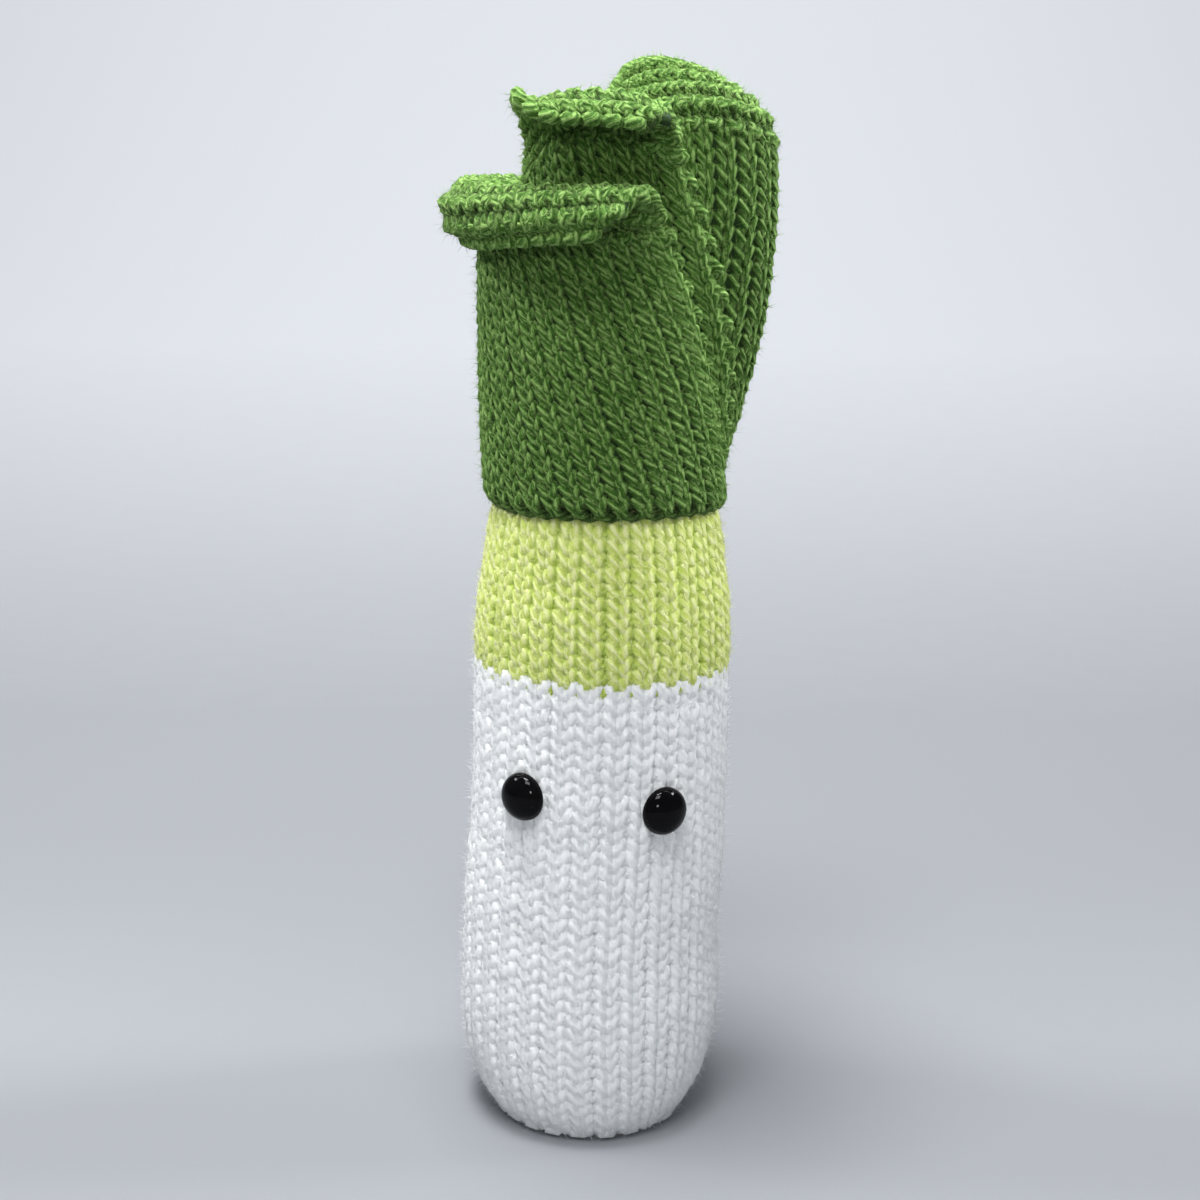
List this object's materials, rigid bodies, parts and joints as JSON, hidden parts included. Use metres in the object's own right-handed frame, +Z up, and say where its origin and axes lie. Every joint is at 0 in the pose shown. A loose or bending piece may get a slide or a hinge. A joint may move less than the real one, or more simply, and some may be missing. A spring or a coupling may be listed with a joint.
{
  "type": "knitted toy leek",
  "caption": "Stuffed hand-knitted toy leek: a white and lime knitted stalk on a flat round base, with bead-like eyes and folded knitted leaves on top.",
  "frame": {"origin": "centre of the flat base, on the surface that the toy stands on", "axes": "+Z up along the stalk, -Y towards the front with the eyes, +X to the right seen from the front"},
  "size_m": [0.0581, 0.0609, 0.1942],
  "materials": {
    "white_yarn": "plied wool, stocking stitch",
    "lime_yarn": "plied wool, stocking stitch",
    "leaf_yarn": "plied wool, stocking stitch with a garter stitch border",
    "eye_plastic": "polished black dome",
    "washer_plastic": "moulded, matt",
    "card": "plain stiff card",
    "stuffing": "loose polyester filling"
  },
  "bodies": {
    "root": {"stalk_white": "white_yarn", "stalk_lime": "lime_yarn", "base_disc": "white_yarn", "base_card": "card", "stuffing": "stuffing", "leaf_front": "leaf_yarn", "leaf_middle": "leaf_yarn", "leaf_back": "leaf_yarn", "eye_left": "eye_plastic", "eye_right": "eye_plastic", "eye_washer_left": "washer_plastic", "eye_washer_right": "washer_plastic"}
  },
  "joints": []
}
